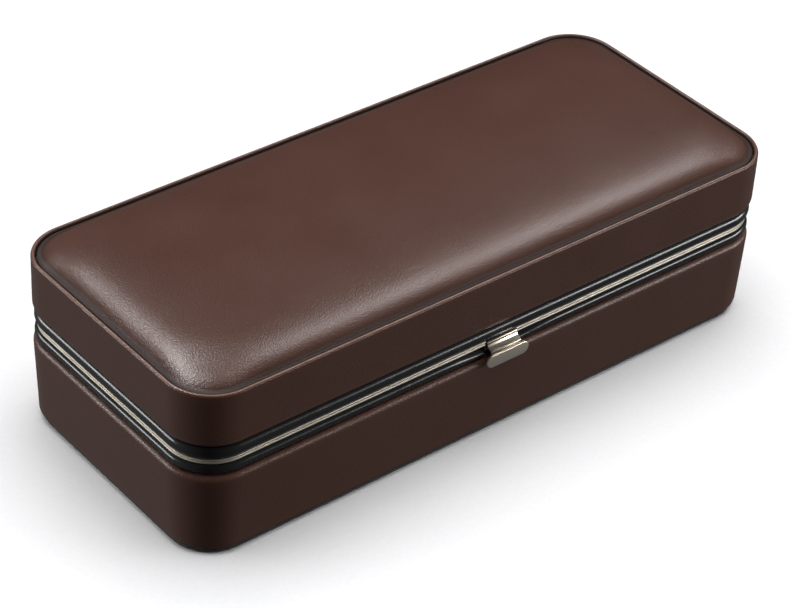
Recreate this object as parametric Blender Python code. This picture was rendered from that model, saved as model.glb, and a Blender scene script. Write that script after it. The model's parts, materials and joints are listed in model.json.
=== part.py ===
"""Watch box: a leather travel case for five watches.

A board tub and a board lid are covered with leather and closed by two bead frames of black steel.
The frames meet on thin nickel strips, turn on two riveted hinges at the back and are held by a
sprung press latch at the front. +X runs along the box, -Y is the front and +Z is up. The origin is
the middle of the underside.
"""

import math

import bmesh
import bpy
from mathutils import Vector

MM = 0.001

# Driving dimensions of the whole box.
LENGTH = 300 * MM
WIDTH = 128 * MM
CORNER_RADIUS = 21 * MM
CORNER_STEPS = 7
GAP = 0.3 * MM

# Heights of the joints between the stacked parts, from the underside up.
PANEL_THICKNESS = 1.6 * MM
COVER_FOOT = PANEL_THICKNESS + GAP
COVER_TOP = 40.3 * MM
LOWER_BEAD_FOOT = COVER_TOP + GAP
LOWER_BEAD_TOP = 45.5 * MM
STRIP_THICKNESS = 0.65 * MM
BASE_STRIP_FOOT = LOWER_BEAD_TOP + GAP
BASE_STRIP_TOP = BASE_STRIP_FOOT + STRIP_THICKNESS
LID_STRIP_FOOT = BASE_STRIP_TOP + 0.4 * MM
LID_STRIP_TOP = LID_STRIP_FOOT + STRIP_THICKNESS
UPPER_BEAD_FOOT = LID_STRIP_TOP + GAP
UPPER_BEAD_TOP = 54.0 * MM
BAND_FOOT = UPPER_BEAD_TOP + GAP
RIM_TOP = 79.5 * MM

# Wall build-up, as insets from the outer outline.
LEATHER = 1.2 * MM
BASE_DRAFT = 1.2 * MM
BOARD = 3.0 * MM
BEAD_INSET = 0.6 * MM
BEAD_DEPTH = 2.6 * MM
SKIRT_OUTER = 4.9 * MM
SKIRT_INNER = 6.4 * MM
SKIRT_LENGTH = 7.0 * MM
STRIP_OUTER = 1.7 * MM
STRIP_INNER = 7.2 * MM
STRIP_LEG = 5.0 * MM
LINING_WALL = STRIP_INNER + GAP
LINING_FACE = 9.0 * MM
LINING_FLOOR = 7.8 * MM

# The inside of the case.
WATCHES = 5
DIVIDER_THICKNESS = 3.0 * MM
DIVIDER_TOP = 40.0 * MM
COMPARTMENT = (LENGTH - 2 * LINING_FACE - (WATCHES - 1) * DIVIDER_THICKNESS) / WATCHES
CUSHION_CLEARANCE = 1.0 * MM
CUSHION_DEPTH = 84.0 * MM
CUSHION_HEIGHT = 40.0 * MM

# Hinges: two at the back, turning about one axis.
HINGE_X = 90.0 * MM
HINGE_WIDTH = 32.0 * MM
HINGE_Y = WIDTH / 2 + 2.3 * MM
HINGE_Z = (BASE_STRIP_TOP + LID_STRIP_FOOT) / 2
BARREL_RADIUS = 1.9 * MM
HINGE_PIN_RADIUS = 0.8 * MM
HINGE_BORE_RADIUS = 1.1 * MM
MIDDLE_KNUCKLE = 12.0 * MM
LEAF_FACE = WIDTH / 2 - BEAD_INSET + GAP
LEAF_THICKNESS = 0.8 * MM
RIVET_SPACING = 22.0 * MM
RIVET_SHANK_RADIUS = 0.6 * MM
RIVET_HOLE_RADIUS = 0.9 * MM
RIVET_SHANK_END = WIDTH / 2 - 3.8 * MM

# Latch: a lever on a cross pin in a notch of the base frame.
FRONT = -WIDTH / 2
NOTCH_HALF = 8.2 * MM
NOTCH_BACK = FRONT + 4.6 * MM
PLATE_HALF = 7.8 * MM
LATCH_Y = FRONT + 2.5 * MM
LATCH_Z = 43.3 * MM
LATCH_PIN_RADIUS = 0.6 * MM
LATCH_BORE_RADIUS = 0.85 * MM
TAB_HALF_LENGTH = 11.0 * MM
TAB_HALF_HEIGHT = 3.1 * MM
TAB_Z = 40.7 * MM
TAB_FACE = FRONT - 3.4 * MM
TAB_THICKNESS = 1.3 * MM
TONGUE_HALF = 2.6 * MM
SPRING_WIRE_RADIUS = 0.2 * MM
SPRING_COIL_RADIUS = 1.15 * MM

COLOURS = {
    "leather": ((0.070, 0.032, 0.022), 0.45, 0.0),
    "black_lacquer": ((0.006, 0.007, 0.008), 0.12, 0.0),
    "nickel": ((0.66, 0.62, 0.55), 0.18, 1.0),
    "board": ((0.30, 0.22, 0.14), 0.85, 0.0),
    "suede": ((0.45, 0.34, 0.23), 0.95, 0.0),
    "foam": ((0.62, 0.60, 0.52), 0.95, 0.0),
    "felt": ((0.020, 0.015, 0.013), 0.95, 0.0),
    "steel": ((0.50, 0.50, 0.50), 0.30, 1.0),
}


def clear_scene():
    for obj in list(bpy.data.objects):
        bpy.data.objects.remove(obj)


def material(name):
    """The shared Principled material of that name."""
    found = bpy.data.materials.get(name)
    if found:
        return found
    colour, roughness, metallic = COLOURS[name]
    made = bpy.data.materials.new(name)
    made.use_nodes = True
    shader = made.node_tree.nodes["Principled BSDF"]
    shader.inputs["Base Color"].default_value = (*colour, 1.0)
    shader.inputs["Roughness"].default_value = roughness
    shader.inputs["Metallic"].default_value = metallic
    return made


def add_object(name, bm, finish, smooth=30):
    """Links a finished bmesh as an object whose faces point outwards."""
    bmesh.ops.recalc_face_normals(bm, faces=bm.faces)
    mesh = bpy.data.meshes.new(name)
    bm.to_mesh(mesh)
    bm.free()
    mesh.shade_smooth()
    mesh.set_sharp_from_angle(angle=math.radians(smooth))
    mesh.materials.append(material(finish))
    obj = bpy.data.objects.new(name, mesh)
    bpy.context.scene.collection.objects.link(obj)
    return obj


def outline(inset):
    """The box's plan outline as (x, y) points, moved inwards by inset."""
    half_x = LENGTH / 2 - inset
    half_y = WIDTH / 2 - inset
    radius = max(CORNER_RADIUS - inset, 2 * MM)
    points = []
    for quarter, (sx, sy) in enumerate(((1, 1), (-1, 1), (-1, -1), (1, -1))):
        for step in range(CORNER_STEPS + 1):
            angle = math.radians(90) * (quarter + step / CORNER_STEPS)
            x = sx * (half_x - radius) + radius * math.cos(angle)
            y = sy * (half_y - radius) + radius * math.sin(angle)
            points.append((x, y))
    return points


def arc(inset, height, across, up, start, end, steps=4):
    """Section points on an ellipse. 0 degrees is its outermost point and 90 its highest."""
    points = []
    for step in range(steps + 1):
        angle = math.radians(start + (end - start) * step / steps)
        points.append((inset - across * math.cos(angle), height + up * math.sin(angle)))
    return points


def bridge(bm, lower, upper):
    count = len(lower)
    for i in range(count):
        j = (i + 1) % count
        bm.faces.new((lower[i], lower[j], upper[j], upper[i]))


def loops_of(bm, section):
    return [[bm.verts.new((x, y, height)) for x, y in outline(inset)] for inset, height in section]


def ring(name, section, finish):
    """A closed section of (inset, height) points carried round the outline."""
    bm = bmesh.new()
    loops = loops_of(bm, section)
    for i, loop in enumerate(loops):
        bridge(bm, loop, loops[(i + 1) % len(loops)])
    return add_object(name, bm, finish)


def tub(name, section, finish):
    """An open chain of (inset, height) points carried round the outline and capped at both ends."""
    bm = bmesh.new()
    loops = loops_of(bm, section)
    for lower, upper in zip(loops, loops[1:]):
        bridge(bm, lower, upper)
    bm.faces.new(loops[0])
    bm.faces.new(loops[-1])
    return add_object(name, bm, finish)


def prism(name, points, axis, start, end, finish):
    """A closed outline extruded along an axis. Points are the two other coordinates, in order."""
    bm = bmesh.new()

    def place(point, along):
        values = list(point)
        values.insert("xyz".index(axis), along)
        return bm.verts.new(values)

    near = [place(p, start) for p in points]
    far = [place(p, end) for p in points]
    bridge(bm, near, far)
    bm.faces.new(near)
    bm.faces.new(far)
    return add_object(name, bm, finish)


def circle(centre, radius, steps=14):
    turn = 2 * math.pi / steps
    return [
        (centre[0] + radius * math.cos(turn * i), centre[1] + radius * math.sin(turn * i))
        for i in range(steps)
    ]


def block(name, low, high, finish):
    points = [(low[0], low[1]), (high[0], low[1]), (high[0], high[1]), (low[0], high[1])]
    return prism(name, points, "z", low[2], high[2], finish)


def combine(obj, tool, operation):
    """Joins a helper solid to obj, or cuts it away. The helper itself is left out of the model."""
    tool.hide_render = True
    tool.display_type = "WIRE"
    modifier = obj.modifiers.new(f"{operation}_{tool.name}", "BOOLEAN")
    modifier.object = tool
    modifier.operation = operation
    modifier.solver = "EXACT"


SEAM_INSET = 2.6 * MM
SEAM_HEIGHT = 78.3 * MM
# The padded top rises fast beside its seam, then slowly to the middle, and less at its corners.
EDGE_RISE = 6.0 * MM
EDGE_REACH = 5.5 * MM
SLOW_RISE = 2.5 * MM
SLOW_REACH = 20.0 * MM
CORNER_SAG = 0.45
CORNER_REACH = 38.0 * MM
CROWN_INSETS = [SEAM_INSET + x * MM for x in (1.0, 2.5, 5.0, 9.0)] + [x * MM for x in (16, 28, 48)]


def crown(inset):
    """Height of the padded top at that inset, away from the corners."""
    s = inset - SEAM_INSET
    fast = EDGE_RISE * (1 - math.exp(-s / EDGE_REACH))
    slow = SLOW_RISE * (1 - math.exp(-s / SLOW_REACH))
    return SEAM_HEIGHT + fast + slow


def under_skin(inset):
    """The point one leather thickness under the padded top's surface at that inset."""
    s = inset - SEAM_INSET
    slope = EDGE_RISE / EDGE_REACH * math.exp(-s / EDGE_REACH)
    slope += SLOW_RISE / SLOW_REACH * math.exp(-s / SLOW_REACH)
    tilt = math.atan(slope)
    return (inset + LEATHER * math.sin(tilt), crown(inset) - LEATHER * math.cos(tilt))


def settle_corners(bm):
    """Lowers what stands above the seam towards the four corners of the plan."""
    for vert in bm.verts:
        rise = vert.co.z - SEAM_HEIGHT
        away = math.hypot(LENGTH / 2 - abs(vert.co.x), WIDTH / 2 - abs(vert.co.y)) / CORNER_REACH
        if rise > 0 and away < 1:
            vert.co.z = SEAM_HEIGHT + rise * (1 - CORNER_SAG * (1 - away * away) ** 2)


def make_base_cover():
    """The leather round the base: turned under the foot and rolled over at the top."""
    turn_under = 11.0 * MM
    foot_radius = 3.3 * MM
    foot_centre = COVER_FOOT + foot_radius
    shoulder = COVER_TOP - 2.5 * MM
    section = [(turn_under, COVER_FOOT)]
    section += arc(BASE_DRAFT + foot_radius, foot_centre, foot_radius, foot_radius, -90, 0)
    section += arc(2.4 * MM, shoulder, 2.4 * MM, 2.5 * MM, 0, 90)
    section += arc(2.4 * MM, shoulder, 1.2 * MM, 1.3 * MM, 90, 0, 3)
    inner_radius = foot_radius - LEATHER
    section += arc(BASE_DRAFT + foot_radius, foot_centre, inner_radius, inner_radius, 0, -90, 3)
    section += [(turn_under, COVER_FOOT + LEATHER)]
    ring("base_leather", section, "leather")


def make_base_structure():
    tub("bottom_panel", [(3.4 * MM, 0), (3.0 * MM, 0.4 * MM), (3.0 * MM, PANEL_THICKNESS)], "felt")
    floor = COVER_FOOT + LEATHER + GAP
    wall_top = COVER_TOP - 1.6 * MM
    shell = [
        (5.0 * MM, floor),
        (2.75 * MM, floor + 2.2 * MM),
        (1.55 * MM, wall_top - 1.1 * MM),
        (2.3 * MM, wall_top),
        (1.4 * MM + BOARD, wall_top),
        (2.2 * MM + BOARD, floor + 2.6 * MM),
    ]
    tub("base_shell", shell, "board")
    lining = [
        (6.0 * MM, 6.3 * MM),
        (5.5 * MM, 6.8 * MM),
        (5.5 * MM, LOWER_BEAD_FOOT - SKIRT_LENGTH - GAP - 0.6 * MM),
        (LINING_WALL, LOWER_BEAD_FOOT - SKIRT_LENGTH - GAP - 0.6 * MM),
        (LINING_WALL, 46.0 * MM),
        (LINING_WALL + 0.4 * MM, 46.3 * MM),
        (LINING_FACE - 0.4 * MM, 46.3 * MM),
        (LINING_FACE, 46.0 * MM),
        (LINING_FACE, LINING_FLOOR),
    ]
    tub("base_lining", lining, "suede")


def make_frame(name, foot, top, skirt_end):
    """A bead ring with a flat skirt that grips the inside of the board wall."""
    middle = (foot + top) / 2
    section = arc(BEAD_INSET + BEAD_DEPTH, middle, BEAD_DEPTH, (top - foot) / 2, -90, 90, 8)
    if skirt_end < foot:
        section += [
            (SKIRT_INNER, top),
            (SKIRT_INNER, skirt_end),
            (SKIRT_OUTER, skirt_end),
            (SKIRT_OUTER, foot),
        ]
    else:
        section += [
            (SKIRT_OUTER, top),
            (SKIRT_OUTER, skirt_end),
            (SKIRT_INNER, skirt_end),
            (SKIRT_INNER, foot),
        ]
    return ring(name, section, "black_lacquer")


def make_strip(name, face, back, leg_end):
    """The nickel strip on a frame's mating face, with a leg down the frame's inside."""
    ease = 0.15 * MM * (1 if back > face else -1)
    leg = STRIP_INNER - 0.5 * MM
    section = [
        (STRIP_OUTER + 0.15 * MM, face),
        (STRIP_OUTER, face + ease),
        (STRIP_OUTER, back),
        (leg, back),
        (leg, leg_end),
        (STRIP_INNER, leg_end),
        (STRIP_INNER, face),
    ]
    return ring(name, section, "nickel")


def make_frames():
    base_frame = make_frame(
        "base_frame", LOWER_BEAD_FOOT, LOWER_BEAD_TOP, LOWER_BEAD_FOOT - SKIRT_LENGTH
    )
    lid_frame = make_frame(
        "lid_frame", UPPER_BEAD_FOOT, UPPER_BEAD_TOP, UPPER_BEAD_TOP + SKIRT_LENGTH
    )
    base_strip = make_strip(
        "base_nickel_strip", BASE_STRIP_TOP, BASE_STRIP_FOOT, BASE_STRIP_TOP - STRIP_LEG
    )
    lid_strip = make_strip(
        "lid_nickel_strip", LID_STRIP_FOOT, LID_STRIP_TOP, LID_STRIP_FOOT + STRIP_LEG
    )
    return base_frame, lid_frame, base_strip, lid_strip


def make_lid_cover():
    """The leather band round the lid, ending in a rolled rim beside the padded top."""
    roll = 1.9 * MM
    rim_centre = RIM_TOP - 1.6 * MM
    rim_half = 1.15 * MM
    inner = LEATHER + 0.05 * MM
    section = arc(roll, BAND_FOOT + 2.1 * MM, roll, 2.1 * MM, -90, 0)
    section += arc(rim_half, rim_centre, rim_half, 1.6 * MM, 0, 180, 6)
    section += [(2 * rim_half, rim_centre - 1.5 * MM), (inner, rim_centre - 1.7 * MM)]
    section += arc(roll, BAND_FOOT + 2.1 * MM, roll - inner, 0.9 * MM, 0, -90, 2)
    ring("lid_leather_band", section, "leather")


def make_lid_top():
    """The padded top: a crowned leather skin over a foam core."""
    foot = 76.1 * MM
    outer = [(SEAM_INSET, foot), (SEAM_INSET, crown(SEAM_INSET))]
    outer += [(i, crown(i)) for i in CROWN_INSETS]
    core_edge = SEAM_INSET + LEATHER
    inside = [(core_edge, crown(SEAM_INSET) - 0.3 * MM)]
    inside += [under_skin(i) for i in CROWN_INSETS]
    inner = list(reversed(inside))
    bm = bmesh.new()
    loops = loops_of(bm, outer + inner + [(core_edge, foot)])
    for lower, upper in zip(loops, loops[1:] + loops[:1]):
        if lower is not loops[len(outer) - 1]:
            bridge(bm, lower, upper)
    bm.faces.new(loops[len(outer) - 1])
    bm.faces.new(loops[len(outer)])
    settle_corners(bm)
    add_object("lid_top_leather", bm, "leather")

    core = [(core_edge + GAP, foot)]
    core += [(inset + GAP, height - GAP) for inset, height in inside]
    bm = bmesh.new()
    loops = loops_of(bm, core)
    for lower, upper in zip(loops, loops[1:]):
        bridge(bm, lower, upper)
    bm.faces.new(loops[0])
    bm.faces.new(loops[-1])
    settle_corners(bm)
    add_object("lid_top_foam", bm, "foam")


def make_lid_structure():
    shell_top = 75.8 * MM
    shell = [
        (3.0 * MM, shell_top),
        (1.55 * MM, shell_top - 1.0 * MM),
        (1.55 * MM, BAND_FOOT + 2.7 * MM),
        (2.2 * MM, BAND_FOOT + 1.7 * MM),
        (2.2 * MM, BAND_FOOT),
        (1.6 * MM + BOARD, BAND_FOOT),
        (1.6 * MM + BOARD, shell_top - BOARD),
    ]
    tub("lid_shell", shell, "board")
    lining_top = shell_top - BOARD - GAP
    skirt_clear = UPPER_BEAD_TOP + SKIRT_LENGTH + GAP
    lining = [
        (SKIRT_OUTER, lining_top),
        (SKIRT_OUTER, skirt_clear),
        (LINING_WALL, skirt_clear),
        (LINING_WALL, 47.3 * MM),
        (LINING_WALL + 0.4 * MM, 47.0 * MM),
        (LINING_FACE - 0.4 * MM, 47.0 * MM),
        (LINING_FACE, 47.3 * MM),
        (LINING_FACE, lining_top - 1.5 * MM),
    ]
    tub("lid_lining", lining, "suede")
    pad_top = lining_top - 1.5 * MM - GAP
    pad = [
        (12.0 * MM, pad_top),
        (11.0 * MM, pad_top - 0.8 * MM),
        (11.0 * MM, pad_top - 2.6 * MM),
        (12.5 * MM, pad_top - 4.2 * MM),
        (17.0 * MM, pad_top - 4.9 * MM),
    ]
    tub("lid_inner_pad", pad, "suede")


def compartment_centre(index):
    pitch = COMPARTMENT + DIVIDER_THICKNESS
    return (index - (WATCHES - 1) / 2) * pitch


def make_dividers():
    """Thin suede boards between the compartments, eased along the top."""
    half = WIDTH / 2 - LINING_FACE - GAP
    foot = LINING_FLOOR + GAP
    ease = 0.6 * MM
    for index in range(WATCHES - 1):
        middle = compartment_centre(index) + (COMPARTMENT + DIVIDER_THICKNESS) / 2
        start = middle - DIVIDER_THICKNESS / 2
        end = middle + DIVIDER_THICKNESS / 2
        points = [
            (start, foot),
            (end, foot),
            (end, DIVIDER_TOP - ease),
            (end - ease, DIVIDER_TOP),
            (start + ease, DIVIDER_TOP),
            (start, DIVIDER_TOP - ease),
        ]
        prism(f"divider_{index + 1}", points, "y", -half, half, "suede")


def oval(half_y, half_z, steps=24, power=2.5):
    """A rounded-square oval in the YZ plane, as (y, z) about its centre."""
    points = []
    for step in range(steps):
        angle = 2 * math.pi * step / steps
        c, s = math.cos(angle), math.sin(angle)
        y = half_y * math.copysign(abs(c) ** (2 / power), c)
        z = half_z * math.copysign(abs(s) ** (2 / power), s)
        points.append((y, z))
    return points


def make_cushion(index):
    """A watch cushion: a foam roll in a suede cover whose ends are turned in round an opening."""
    centre = Vector((compartment_centre(index), 0, LINING_FLOOR + GAP + CUSHION_HEIGHT / 2))
    half_x = COMPARTMENT / 2 - CUSHION_CLEARANCE
    half_y, half_z = CUSHION_DEPTH / 2, CUSHION_HEIGHT / 2
    cloth = 1.0 * MM
    end_turn = 9.0 * MM
    # (x, shrink) stations of the cover: outside from end to end, then back along the inside.
    outside = [(-half_x, end_turn), (-half_x, 2.5 * MM), (-half_x + 2.5 * MM, 0)]
    outside += [(-x, shrink) for x, shrink in reversed(outside)]
    inside = [(x - math.copysign(cloth, x), shrink + cloth) for x, shrink in reversed(outside)]
    inside[0] = (half_x - cloth, end_turn)
    inside[-1] = (-half_x + cloth, end_turn)
    bm = bmesh.new()
    loops = []
    for x, shrink in outside + inside:
        points = oval(half_y - shrink, half_z - shrink)
        loops.append([bm.verts.new(centre + Vector((x, y, z))) for y, z in points])
    for i, loop in enumerate(loops):
        bridge(bm, loop, loops[(i + 1) % len(loops)])
    add_object(f"cushion_{index + 1}_cover", bm, "suede")

    core_x = half_x - cloth - GAP
    shrink = cloth + GAP
    core = [(-core_x, shrink + 2.8 * MM), (-core_x + 2.6 * MM, shrink)]
    core += [(-x, s) for x, s in reversed(core)]
    bm = bmesh.new()
    loops = []
    for x, s in core:
        points = oval(half_y - s, half_z - s)
        loops.append([bm.verts.new(centre + Vector((x, y, z))) for y, z in points])
    for lower, upper in zip(loops, loops[1:]):
        bridge(bm, lower, upper)
    bm.faces.new(loops[0])
    bm.faces.new(loops[-1])
    add_object(f"cushion_{index + 1}_core", bm, "foam")


def make_hinge(side, sign, base_frame, lid_frame):
    """One butt hinge: two leaves, a pin and four rivets, centred on the box's back at x."""
    x = sign * HINGE_X
    half = HINGE_WIDTH / 2
    middle = MIDDLE_KNUCKLE / 2
    web_drop = 0.65 * MM
    leaf_back = LEAF_FACE + LEAF_THICKNESS
    finish = "black_lacquer"

    base_leaf = block(
        f"hinge_base_leaf_{side}",
        (x - half, LEAF_FACE, 40.9 * MM),
        (x + half, leaf_back, 45.3 * MM),
        finish,
    )
    lid_leaf = block(
        f"hinge_lid_leaf_{side}",
        (x - half, LEAF_FACE, 48.2 * MM),
        (x + half, leaf_back, 53.6 * MM),
        finish,
    )
    axis = (HINGE_Y, HINGE_Z)
    spans = ((x - half, x - middle - GAP), (x + middle + GAP, x + half))
    for number, (start, end) in enumerate(spans):
        web_low = (start, LEAF_FACE, HINGE_Z - BARREL_RADIUS)
        web_high = (end, HINGE_Y, HINGE_Z - web_drop)
        combine(base_leaf, block(f"web_{side}_{number}", web_low, web_high, finish), "UNION")
        barrel = prism(f"barrel_{side}_{number}", circle(axis, BARREL_RADIUS), "x", start, end, finish)
        combine(base_leaf, barrel, "UNION")
    web_low = (x - middle, LEAF_FACE, HINGE_Z + web_drop)
    web_high = (x + middle, HINGE_Y, HINGE_Z + BARREL_RADIUS)
    combine(lid_leaf, block(f"web_{side}_lid", web_low, web_high, finish), "UNION")
    barrel = prism(
        f"barrel_{side}_lid", circle(axis, BARREL_RADIUS), "x", x - middle, x + middle, finish
    )
    combine(lid_leaf, barrel, "UNION")

    # The stop: a toe on the lid's knuckle meets a lug on the base leaf when the lid is fully open.
    toe_half = 4.0 * MM
    toe = block(
        f"toe_{side}",
        (x - toe_half, HINGE_Y + 1.4 * MM, HINGE_Z - 0.45 * MM),
        (x + toe_half, HINGE_Y + 2.9 * MM, HINGE_Z + 0.45 * MM),
        finish,
    )
    combine(lid_leaf, toe, "UNION")
    lug = block(
        f"lug_{side}",
        (x - toe_half, LEAF_FACE + 0.2 * MM, HINGE_Z - 3.3 * MM),
        (x + toe_half, HINGE_Y - 1.2 * MM, HINGE_Z - 2.3 * MM),
        finish,
    )
    combine(base_leaf, lug, "UNION")

    bore = prism(
        f"hinge_bore_{side}", circle(axis, HINGE_BORE_RADIUS), "x", x - half - MM, x + half + MM, finish
    )
    combine(base_leaf, bore, "DIFFERENCE")
    combine(lid_leaf, bore, "DIFFERENCE")
    prism(f"hinge_pin_{side}", circle(axis, HINGE_PIN_RADIUS), "x", x - half, x + half, "steel")

    for leaf, frame, level, word in (
        (base_leaf, base_frame, (LOWER_BEAD_FOOT + LOWER_BEAD_TOP) / 2, "base"),
        (lid_leaf, lid_frame, (UPPER_BEAD_FOOT + UPPER_BEAD_TOP) / 2, "lid"),
    ):
        for number, offset in enumerate((-RIVET_SPACING / 2, RIVET_SPACING / 2)):
            centre = (x + offset, level)
            name = f"hinge_{word}_rivet_{side}_{number + 1}"
            make_rivet(name, centre, leaf_back, leaf, frame)


def make_rivet(name, centre, leaf_back, leaf, frame):
    """A rivet along Y through a hinge leaf into its frame, both of which get its hole."""
    head_start = leaf_back + GAP
    rings = (
        (RIVET_SHANK_END, RIVET_SHANK_RADIUS),
        (head_start, RIVET_SHANK_RADIUS),
        (head_start, 1.3 * MM),
        (head_start + 0.3 * MM, 1.3 * MM),
        (head_start + 0.6 * MM, 0.8 * MM),
    )
    bm = bmesh.new()
    loops = []
    for y, radius in rings:
        loops.append([bm.verts.new((px, y, pz)) for px, pz in circle(centre, radius, 10)])
    for lower, upper in zip(loops, loops[1:]):
        bridge(bm, lower, upper)
    bm.faces.new(loops[0])
    bm.faces.new(loops[-1])
    add_object(name, bm, "black_lacquer")
    end = RIVET_SHANK_END - 0.4 * MM
    hole = prism(
        f"hole_{name}", circle(centre, RIVET_HOLE_RADIUS, 10), "y", end, head_start + MM, "steel"
    )
    combine(leaf, hole, "DIFFERENCE")
    combine(frame, hole, "DIFFERENCE")


def make_notches(base_frame, base_strip, lid_strip):
    """The notch for the latch in the base frame and in both strips, and the latch pin's holes."""
    low = (-NOTCH_HALF, FRONT - MM, LOWER_BEAD_FOOT - MM)
    notch = block("latch_notch", low, (NOTCH_HALF, NOTCH_BACK, LID_STRIP_TOP + 0.1 * MM), "steel")
    for obj in (base_frame, base_strip, lid_strip):
        combine(obj, notch, "DIFFERENCE")
    reach = NOTCH_HALF + 1.3 * MM
    holes = prism(
        "latch_pin_hole", circle((LATCH_Y, LATCH_Z), LATCH_BORE_RADIUS), "x", -reach, reach, "steel"
    )
    combine(base_frame, holes, "DIFFERENCE")


def make_latch():
    """The press latch: a bent plate with a thumb tab, two ears on the pin and an inward nose."""
    plate_section = [
        (FRONT + 1.5 * MM, BASE_STRIP_TOP),
        (FRONT + 0.9 * MM, BASE_STRIP_TOP),
        (FRONT + 0.7 * MM, BASE_STRIP_TOP - 0.5 * MM),
        (FRONT - 2.1 * MM, 43.7 * MM),
        (FRONT - 2.5 * MM, 43.2 * MM),
        (FRONT - 2.5 * MM, 40.0 * MM),
        (FRONT - 1.4 * MM, 40.0 * MM),
        (FRONT - 1.4 * MM, 43.0 * MM),
        (FRONT + 1.4 * MM, 45.3 * MM),
    ]
    lever = prism("latch_lever", plate_section, "x", -PLATE_HALF, PLATE_HALF, "nickel")

    tab_points = []
    run = TAB_HALF_LENGTH - TAB_HALF_HEIGHT
    for step in range(17):
        angle = math.radians(-90 + 180 * (step % 9) / 8 + (180 if step > 8 else 0))
        centre = run if step <= 8 else -run
        x = centre + TAB_HALF_HEIGHT * math.cos(angle)
        tab_points.append((x, TAB_Z + TAB_HALF_HEIGHT * math.sin(angle)))
    tab_points.append((-run, TAB_Z - TAB_HALF_HEIGHT))
    tab = prism("latch_tab", tab_points, "y", TAB_FACE, TAB_FACE + TAB_THICKNESS, "nickel")
    combine(lever, tab, "UNION")

    ear_radius = 1.35 * MM
    ear = [(FRONT - 1.0 * MM, 43.4 * MM), (FRONT + 0.9 * MM, 45.3 * MM)]
    for step in range(8):
        angle = math.radians(70 - 200 * step / 7)
        y = LATCH_Y + ear_radius * math.cos(angle)
        ear.append((y, LATCH_Z + ear_radius * math.sin(angle)))
    for number, sign in enumerate((-1, 1)):
        ends = sorted((sign * 6.2 * MM, sign * 7.2 * MM))
        combine(lever, prism(f"latch_ear_{number}", ear, "x", *ends, "nickel"), "UNION")

    nose_low = (-1.7 * MM, FRONT + 0.6 * MM, 44.75 * MM)
    nose = block("latch_nose", nose_low, (1.7 * MM, FRONT + 3.4 * MM, 45.55 * MM), "nickel")
    combine(lever, nose, "UNION")
    bore = prism(
        "latch_bore", circle((LATCH_Y, LATCH_Z), LATCH_BORE_RADIUS), "x", -PLATE_HALF, PLATE_HALF, "steel"
    )
    combine(lever, bore, "DIFFERENCE")

    pin_half = NOTCH_HALF + 1.0 * MM
    pin = circle((LATCH_Y, LATCH_Z), LATCH_PIN_RADIUS, 12)
    prism("latch_pin", pin, "x", -pin_half, pin_half, "steel")


def make_striker():
    """The lid's half of the latch: a flange in the strip's notch with a windowed tongue below."""
    flange_low = (-PLATE_HALF, FRONT + 0.8 * MM, LID_STRIP_FOOT)
    striker = block("striker", flange_low, (PLATE_HALF, NOTCH_BACK - GAP, LID_STRIP_TOP), "nickel")
    back = NOTCH_BACK - GAP
    tongue_low = (-TONGUE_HALF, back - 0.6 * MM, 42.4 * MM)
    tongue_high = (TONGUE_HALF, back, LID_STRIP_TOP - 0.2 * MM)
    combine(striker, block("striker_tongue", tongue_low, tongue_high, "nickel"), "UNION")
    window_low = (-2.0 * MM, back - MM, 44.5 * MM)
    window = block("striker_window", window_low, (2.0 * MM, back + MM, 45.8 * MM), "steel")
    combine(striker, window, "DIFFERENCE")


def make_latch_spring():
    """A torsion spring on the latch pin: one leg on the notch's back wall, one behind the plate."""
    turns, per_turn = 4, 12
    start_x, end_x = 3.4 * MM, 5.7 * MM
    centre = Vector((0, LATCH_Y, LATCH_Z))
    points = [Vector((start_x, LATCH_Y + 1.4 * MM, LATCH_Z + 2.0 * MM))]
    for step in range(turns * per_turn + 1):
        t = step / (turns * per_turn)
        angle = -2 * math.pi * turns * t * 0.92
        y = SPRING_COIL_RADIUS * math.cos(angle)
        z = SPRING_COIL_RADIUS * math.sin(angle)
        points.append(centre + Vector((start_x + (end_x - start_x) * t, y, z)))
    points.append(Vector((end_x, FRONT - 0.6 * MM, LATCH_Z - 1.2 * MM)))
    curve = bpy.data.curves.new("latch_spring", "CURVE")
    curve.dimensions = "3D"
    curve.bevel_depth = SPRING_WIRE_RADIUS
    curve.bevel_resolution = 1
    curve.use_fill_caps = True
    spline = curve.splines.new("POLY")
    spline.points.add(len(points) - 1)
    for target, point in zip(spline.points, points):
        target.co = (*point, 1)
    curve.materials.append(material("steel"))
    bpy.context.scene.collection.objects.link(bpy.data.objects.new("latch_spring", curve))


def main():
    clear_scene()
    make_base_cover()
    make_base_structure()
    base_frame, lid_frame, base_strip, lid_strip = make_frames()
    make_lid_cover()
    make_lid_top()
    make_lid_structure()
    make_dividers()
    for index in range(WATCHES):
        make_cushion(index)
    for side, sign in (("left", -1), ("right", 1)):
        make_hinge(side, sign, base_frame, lid_frame)
    make_notches(base_frame, base_strip, lid_strip)
    make_latch()
    make_striker()
    make_latch_spring()


main()
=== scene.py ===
"""The looks of the watch box: leather, lacquered beads, nickel trim, suede inside, studio light."""

import json
import math
from math import cos, exp, pi, radians, sin

import bmesh
import bpy
import numpy as np
from mathutils import Matrix, Vector, noise


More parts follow.
